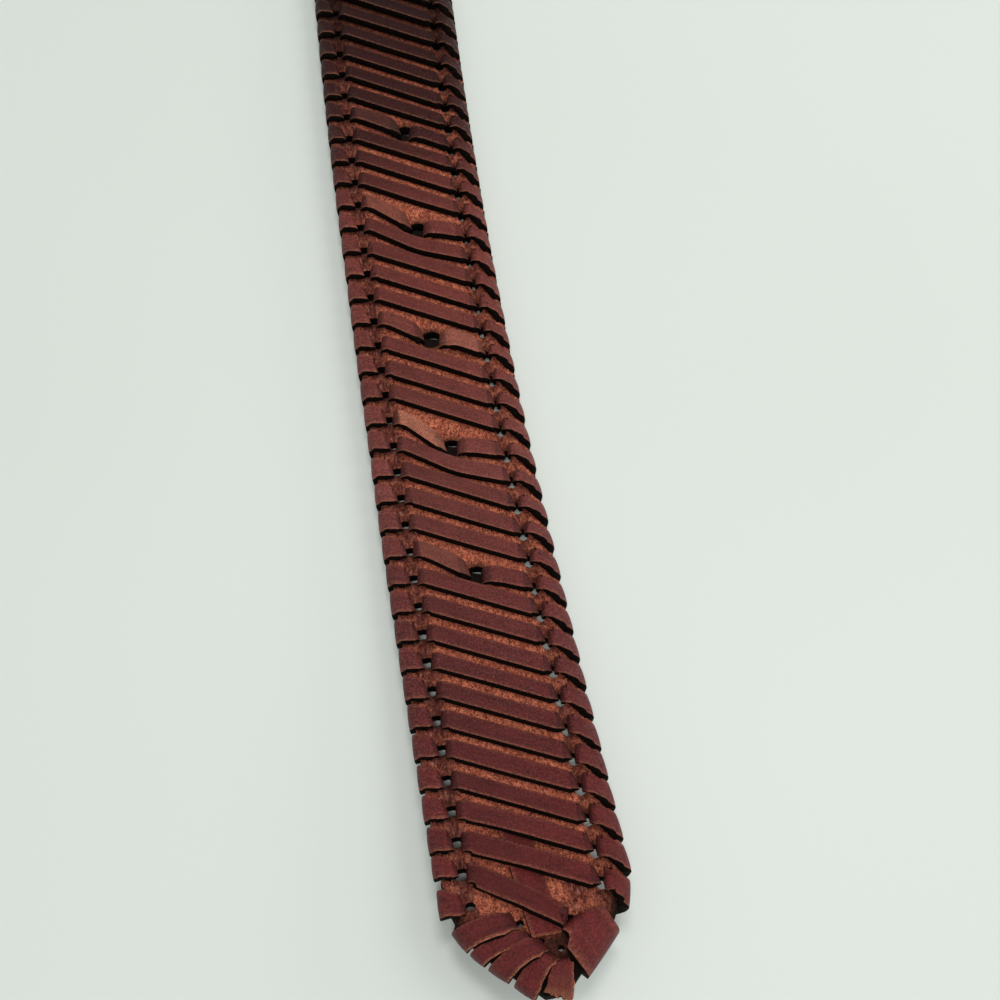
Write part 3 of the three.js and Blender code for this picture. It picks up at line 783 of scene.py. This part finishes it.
def cutStrandKnots(row):
    # the right part of a strand that a prong hole cuts: over, down and back under
    marks = {"tone": chance.random() * 0.5, "wear": row["scuff"]}
    hole = prongPlace(row)
    right = rowHole(row["turn"] - lace["lead"], 1)
    rim, full = lengthwise(lace["strandRim"]), lengthwise(lace["strandHalf"] + row["lift"] * 0.3)
    slope = (hole[0] - right[0]) / (right[1] - hole[1])
    outward, inward = (-slope, 1.0), (slope, -1.0)
    start = (hole[0], hole[1] + row["open"])
    return [
        *rimKnots(hole, outward, row["open"], (-1, 1), rim, **marks),
        knot(between(start, right, 0.3), midUp + row["lift"], full, 1.5, **marks),
        knot(between(start, right, 0.7), midUp + row["lift"] * 0.7, full, 1.5, **marks),
        *rimKnots(right, inward, lace["room"], (1, -1), rim, **marks),
        knot(between(start, right, 0.5), -underUp, full, 2, shade=1.0, flat=1),
        knot((hole[0], hole[1] - row["open"]), -underUp, full, shade=1.0, flat=1),
    ]


def makeTongueLaces():
    addLace("centreLace", centreKnots(range(lace["pairs"] - 1, 0, -1)), "centre_lace")
    for number, row in enumerate(prongHoles, 1):
        addLace(f"cutStrand{number}", cutStrandKnots(row), f"cut_strand_{number}")
    left = [k for wrap in tipWraps if wrap["side"] < 0 for k in wrapKnots(wrap)]
    left += [k for index in range(lace["pairs"]) for k in tabKnots(index, -1)]
    addLace("edgeLaceLeft", left, "edge_lace_left")
    right = [k for index in range(lace["pairs"] - lace["lead"] - 1, -1, -1) for k in tabKnots(index, 1)]
    right += [k for wrap in tipWraps if wrap["side"] > 0 for k in wrapKnots(wrap)]
    addLace("edgeLaceRight", right, "edge_lace_right")
    print("laces of the tongue made")


def addFrayedEnd():
    hole, tip = laceEnd["hole"], laceEnd["tip"]
    along = unit(hole, tip)
    up = midUp + laceEnd["up"]

    def sideways(half):
        return (-along[1] * half, along[0] * half)

    marks = {"tone": 0.1, "raw": 0.0}
    knots = [
        *rimKnots(hole, along, lace["room"], (-1, 1), sideways(laceEnd["rim"]), **marks),
        knot(between(hole, tip, 0.3), up, sideways(1.6), 0.8, **marks),
        knot(between(hole, tip, 0.72), up, sideways(2.05), 0.8, tone=0.3, raw=0.2),
        knot(tip, midUp - 0.1, sideways(laceEnd["half"]), 0.1, tone=0.2, raw=1.0),
    ]
    addLace("frayedEnd", knots, "edge_lace_right", across=14, step=0.35, fray=0.45, edge="suede")


def addTail():
    level = strap["thick"] / 2 + lace["hug"] + tail["thick"] / 2
    low, high, half = tail["low"], tail["high"], (0.0, tail["half"])
    knots = [
        knot(low, level, half, tone=0.3, raw=1.0), knot(between(low, high, 0.05), level, half),
        knot(between(low, high, 0.5), level, half, 2), knot(high, level, half, tone=0.3),
    ]
    piece = addLace("tuckedTail", knots, "lace_tail", thick=tail["thick"])
    piece.data.materials.append(finishes["suede"])
    for face in piece.data.polygons:
        if face.normal.y < -0.85:  # the cut end
            face.material_index = 2


def makeBodyLaces():
    pairs = range(lace["pairs"], lace["lastPair"])
    addLace("bodyCentreLace", centreKnots(reversed(pairs)), "body_lace", coarse=True)
    addLace("bodyEdgeLeft", [k for i in pairs for k in tabKnots(i, -1)], "body_lace", coarse=True)
    right = range(lace["pairs"] - lace["lead"], lace["lastPair"] - lace["lead"])
    addLace("bodyEdgeRight", [k for i in right for k in tabKnots(i, 1)], "body_lace", coarse=True)
    print("laces of the body made")


makeTongueLaces()
addFrayedEnd()
addTail()
print("tip made")
makeBodyLaces()


# Strap: a grid with the holes opened in it, then given its thickness

holes = {  # for the rows of lace holes: half length, half width, how far back and how far out of the row
    "right": (1.25, 0.95, 0.65, 0), "left": (1.0, 1.7, 0.3, -0.45),
    "leftFirst": (0.7, 0.9, 0.3, 0), "leftFar": (0.75, 1.7, 0.3, -0.45), "farFrom": 10,
    "prong": (1.8, 2.2),
    # along, across, half length and half width
    "tip": [(14.0, -3.7, 0.7, 0.7), (10.4, -0.9, 0.6, 0.7), (8.7, 2.3, 0.55, 0.55), (13.3, 4.8, 0.7, 0.8)],
}
strapGrid = {  # where the grid's lines are: in from the edges, from each pair of holes, and elsewhere, in mm
    "fromEdge": (0, 1.2, 2.5, 3.85, 5.2, 6.5, 7.9, 9.3, 10.7, 12.1, 13.2),
    "atHoles": (-1.1, 0, 1.1, 2.2, 3.35), "tipLines": 22, "tipStop": 1.9, "bodyStep": 4,
}
fold = {  # the rise to the bar as places ahead of it and heights, and the turn round it
    "rise": ((-11, 1.0), (-8.5, 2.0), (-6, 3.1), (-3.5, 3.85), (-1, 4.05)),
    "flatStop": 14, "radius": 2.85, "ahead": 0.7, "up": 1.2, "under": -1.65, "slotHalf": 2.7,
}


def strapLines():
    # the strap's middle line: place along, height, and thickness as a share, doubling back at the buckle
    tipStart = strap["tip"][0][0] * strap["tipLength"]
    tipStop = lace["firstHole"] - strapGrid["tipStop"]
    thin = strap["foldThick"] / strap["thick"]
    shelf = strap["thick"] / 2 - strap["foldThick"] / 2
    reach, start, step = strap["reach"], strap["foldStart"], strapGrid["bodyStep"]
    lines = [(a, 0.0, 1.0) for a in np.linspace(tipStart, tipStop, strapGrid["tipLines"])]
    for index in range(lace["lastPair"]):
        lines += [(holeAlong(index) + offset, 0.0, 1.0) for offset in strapGrid["atHoles"]]
    lines += [(a, 0.0, 1.0) for a in np.arange(lines[-1][0] + 2, start, step)]
    lines += [(a, shelf, thin) for a in np.linspace(start + step, reach - fold["flatStop"], 9)]
    lines += [(reach + a, up, thin) for a, up in fold["rise"]]
    for turn in np.linspace(90, -90, 9):
        angle = math.radians(turn)
        along = reach + fold["ahead"] + fold["radius"] * math.cos(angle)
        lines.append((along, fold["up"] + fold["radius"] * math.sin(angle), thin))
    lines += [(a, fold["under"], thin) for a in np.linspace(reach - 1, start + 2, 14)]
    return np.array(lines)


def rowHoleSize(index, side):
    if side > 0:
        return holes["right"]
    if index == 0:
        return holes["leftFirst"]
    return holes["left"] if index < holes["farFrom"] else holes["leftFar"]


def strapHoles():
    made = []
    for side in (-1, 1):
        for index in range(lace["lastPair"] - (lace["lead"] if side > 0 else 0)):
            along, across = rowHole(index, side)
            long, wide, back, out = rowHoleSize(index, side)
            made.append((along - back, across - side * out, long, wide))
    made += [(*prongPlace(row), *holes["prong"]) for row in prongHoles]
    return made + holes["tip"]


def awayFrom(place, spot):
    # the distance to the nearest such spot, where places and spots repeat with the pitch
    pitch = lace["pitch"]
    return np.abs((place - spot + pitch / 2) % pitch - pitch / 2)


def squeezeOut(across, shares, place, laced):
    # the leather squeezed out between the tabs
    for side, gap in strap["squeezeAt"].items():
        push = strap["squeeze"] * np.clip(1.1 - awayFrom(place, gap), 0, 1) * laced
        across += side * push[:, None] * np.clip((np.abs(shares) - 0.86) / 0.14, 0, 1) * (shares * side > 0)


def openHoles(along, across, single):
    # moves the points round each hole to its rim: which points go, and how near to a hole each one is
    gone = np.zeros(along.shape, bool)
    pits = np.zeros(along.shape)
    for holeA, holeC, long, wide in strapHoles():
        reach = np.hypot((along - holeA) / long, (across - holeC) / wide)
        inside = (reach < 0.8) & single
        ring = inside.copy()
        for step in ((1, 0), (-1, 0), (0, 1), (0, -1), (1, 1), (1, -1), (-1, 1), (-1, -1)):
            ring |= np.roll(inside, step, axis=(0, 1))
        ring &= ~inside
        along[ring] = holeA + (along[ring] - holeA) / reach[ring]
        across[ring] = holeC + (across[ring] - holeC) / reach[ring]
        gone |= inside
        pits = np.maximum(pits, np.exp(-((reach - 1).clip(0) * 1.6) ** 2) * single)
    return gone, pits


def openProngSlot(lines, across, gone):
    # the slot in the fold that the prong comes through
    folded = (lines[:, 0] > strap["reach"] - 4)[:, None]
    slot = folded & (np.abs(across) < 3)
    beside = folded & (np.abs(across) < 4) & ~slot
    across[beside] = np.sign(across[beside]) * fold["slotHalf"]
    return gone | slot


def strapMarks(along, across, fromSide, shares, place, laced, pits):
    # rows: the dirt along the lace holes and by the tip. The darker mark: darker along the edges and widest
    # at the tip, and painted shade in and round the holes, by the right holes under the tabs, along the
    # lines of the holes, and among the tip's wraps
    right = (shares > 0)[None, :]
    rows = np.exp(-((fromSide - 3.0) / 2.6) ** 2) * np.where(right, 0.6, 1)
    rows = np.maximum(rows, np.exp(-((along - 17) / 4.5) ** 2 - ((across - 8) / 4) ** 2))
    blunt = np.clip((22 - along) / 6, 0, 1)
    away = awayFrom(place, 0.5) * laced
    byHoles = np.exp(-(away[:, None] / 1.7) ** 4 - ((fromSide - 3.9) / 1.15) ** 4) * right
    soot = np.clip(1.3 - fromSide / (0.5 + 2.2 * blunt), 0, 1) * (0.4 + 0.6 * blunt)
    # painted shade: round the holes, by the right holes, along the lines of the holes and among the tip's
    # wraps
    for more in (
        pits * 0.85,
        byHoles * 0.95 * laced[:, None],
        np.exp(-(fromSide - 3.85) ** 2) * np.where(right, 0.35, 0.4),
        0.88 * np.clip((13.5 - along) / 3, 0, 1),
        np.clip((9 - along) / 3, 0, 1) * np.clip((6 - fromSide) / 3, 0, 1),
    ):
        soot = np.maximum(soot, more)
    return {"rows": rows, "soot": soot}


def deleteVertices(mesh, gone):
    bpy.ops.object.mode_set(mode="EDIT")
    bpy.ops.mesh.select_mode(type="VERT")
    bpy.ops.mesh.select_all(action="DESELECT")
    bpy.ops.object.mode_set(mode="OBJECT")
    mesh.vertices.foreach_set("select", gone)
    bpy.ops.object.mode_set(mode="EDIT")
    bpy.ops.mesh.delete(type="VERT")
    bpy.ops.object.mode_set(mode="OBJECT")


def makeStrapPiece():
    lines = strapLines()
    fromEdge = np.array(strapGrid["fromEdge"]) / strap["half"]
    shares = np.concatenate([fromEdge - 1, [0], (1 - fromEdge)[::-1]])
    piece, row, side = addGrid(len(lines), len(shares))
    col = np.rint((side / 2 + 0.5) * (len(shares) - 1)).astype(int)
    piece.name = piece.data.name = "suedeStrap"
    along = np.repeat(lines[:, :1], len(shares), axis=1)
    halves = np.array([halfWidth(a) for a in lines[:, 0]])
    across = halves[:, None] * shares[None, :]
    fromSide = halves[:, None] * (1 - np.abs(shares))[None, :]
    place = (lines[:, 0] - lace["firstHole"]) % lace["pitch"]
    laced = (lines[:, 0] > lace["firstHole"] + 4) & (lines[:, 0] < holeAlong(lace["lastPair"] - 3))
    squeezeOut(across, shares, place, laced)
    single = (lines[:, 1] == 0)[:, None] & np.ones(len(shares), bool)
    gone, pits = openHoles(along, across, single)
    gone = openProngSlot(lines, across, gone)
    points = toWorld(along, across, lines[:, 1][:, None] + np.zeros(along.shape))[row, col]
    piece.data.vertices.foreach_set("co", points.ravel())
    length = np.concatenate([[0], np.cumsum(np.hypot(np.diff(lines[:, 0]), np.diff(lines[:, 1])))])
    run = length[:, None] + along - lines[:, :1]
    setUvs(piece.data, np.stack([run[row, col], across[row, col]], axis=1))
    marks = strapMarks(along, across, fromSide, shares, place, laced, pits)
    setMarks(piece.data, {name: values[row, col] for name, values in marks.items()})
    group = piece.vertex_groups.new(name="thickness")
    for share in np.unique(lines[:, 2]):
        group.add([int(i) for i in np.nonzero(lines[row, 2] == share)[0]], float(share), "REPLACE")
    deleteVertices(piece.data, gone[row, col])
    piece.data.materials.append(finishes["suede"])
    piece.data.materials.append(finishes["laceEdge"])
    addThickness(piece, strap["thick"], rim=1, group="thickness")
    finishEdges(piece, strap["edgeRound"], 2, 50, 45)
    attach(piece, "root")
    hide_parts("base_strap")
    print("strap made")


makeStrapPiece()


# Buckle: a rounded frame whose near side is the bar, and a prong bent round the bar

buckle = {  # the prong's gaps are under the bar and over the frame, and its places are from the bar
    "wide": 32, "long": 24, "rim": 5, "thick": 3.6, "corner": 6, "bevel": 1.2, "gapHalf": 8,
    "barLong": 4.4, "barThick": 3, "barBevel": 1.1, "up": 1.2,
    "prongHalf": 2.1, "prongThick": 1.7, "prongUnder": 0.1, "prongOver": 0.15,
    "prongTail": 1.6, "prongBehind": 3.2, "prongFlat": 6, "prongPast": 4.4,
}


def finishBuckle(piece, name):
    piece.name = piece.data.name = name
    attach(piece, "root")
    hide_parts("buckle")


def addBuckleFrame():
    bar = tipY + strap["reach"]
    height = (strap["midUp"] + buckle["up"]) * mm
    near, far = bar - buckle["barLong"] / 2, bar + buckle["barLong"] / 2 + buckle["long"] + buckle["rim"]
    deselectAll()
    bpy.ops.mesh.primitive_plane_add(size=1, location=(middleX * mm, (near + far) / 2 * mm, height))
    piece = bpy.context.object
    piece.scale = ((buckle["wide"] + 2 * buckle["rim"]) * mm, (far - near) * mm, 1)
    bpy.ops.object.transform_apply(location=True, rotation=False, scale=True)
    bpy.ops.object.mode_set(mode="EDIT")
    bpy.ops.mesh.select_all(action="SELECT")
    bpy.ops.mesh.bevel(offset=buckle["corner"] * mm, segments=7, affect="VERTICES")
    bpy.ops.mesh.select_all(action="SELECT")
    bpy.ops.mesh.inset(thickness=buckle["rim"] * mm)
    bpy.ops.mesh.delete(type="FACE")
    bpy.ops.object.mode_set(mode="OBJECT")
    for face in piece.data.polygons:  # the near side, which the bar takes the place of
        aside = abs(face.center.x / mm - middleX)
        face.select = face.center.y / mm < near + buckle["rim"] and aside < buckle["gapHalf"]
    bpy.ops.object.mode_set(mode="EDIT")
    bpy.ops.mesh.delete(type="FACE")
    bpy.ops.object.mode_set(mode="OBJECT")
    piece.data.materials.append(finishes["brass"])
    addThickness(piece, buckle["thick"])
    finishEdges(piece, buckle["bevel"], 4, 50, 40)
    finishBuckle(piece, "buckleFrame")


def addBuckleBar():
    bar = tipY + strap["reach"]
    height = strap["midUp"] + buckle["up"]
    deselectAll()
    bpy.ops.mesh.primitive_cube_add(size=1, location=(middleX * mm, bar * mm, height * mm))
    piece = bpy.context.object
    piece.scale = ((buckle["wide"] + buckle["rim"]) * mm, buckle["barLong"] * mm, buckle["barThick"] * mm)
    bpy.ops.object.transform_apply(location=True, rotation=False, scale=True)
    bpy.ops.object.mode_set(mode="EDIT")
    bpy.ops.mesh.select_all(action="SELECT")
    bpy.ops.mesh.bevel(offset=buckle["barBevel"] * mm, segments=4)
    bpy.ops.object.mode_set(mode="OBJECT")
    piece.data.materials.append(finishes["brass"])
    bpy.ops.object.shade_smooth_by_angle(angle=math.radians(40))
    finishBuckle(piece, "buckleBar")


def addProng():
    wide, reach, up = buckle["prongHalf"], strap["reach"], buckle["up"]
    under = up - buckle["barThick"] / 2 - buckle["prongUnder"] - buckle["prongThick"] / 2
    over = up + buckle["thick"] / 2 + buckle["prongOver"] + buckle["prongThick"] / 2
    far = reach + buckle["barLong"] / 2 + buckle["long"]
    behind = reach - buckle["prongBehind"]
    knots = [
        knot((reach + buckle["prongTail"], 0), under, (0.0, wide)),
        knot((behind, 0), under, (0.0, wide), 1.6),
        knot((behind, 0), over, (0.0, wide), 1.8),
        knot((reach + buckle["prongFlat"], 0), over + 0.1, (0.0, wide), 2),
        knot((far - 2, 0), over, (0.0, wide * 0.82), 2),
        knot((far + buckle["prongPast"], 0), over - 0.35, (0.0, wide * 0.62), 1),
    ]
    sizes = {"thick": buckle["prongThick"], "step": 0.8, "across": 6, "rounding": 0.5, "segments": 3}
    piece = addBand("buckleProng", knots, finish="brass", edge="brass", **sizes)
    finishBuckle(piece, "buckleProng")


addBuckleFrame()
addBuckleBar()
addProng()
print("buckle made")


def addFloor():
    deselectAll()
    bpy.ops.mesh.primitive_plane_add(size=6, location=(0, 0, 0))
    floor = bpy.context.object
    floor.name = "floor"
    floor.data.materials.append(finishes["floor"])


addFloor()
shown = [piece for piece in bpy.data.objects if piece.type == "MESH" and not piece.hide_render]
for piece in shown:
    print(piece.name, sum(len(face.vertices) - 2 for face in piece.data.polygons), "triangles")
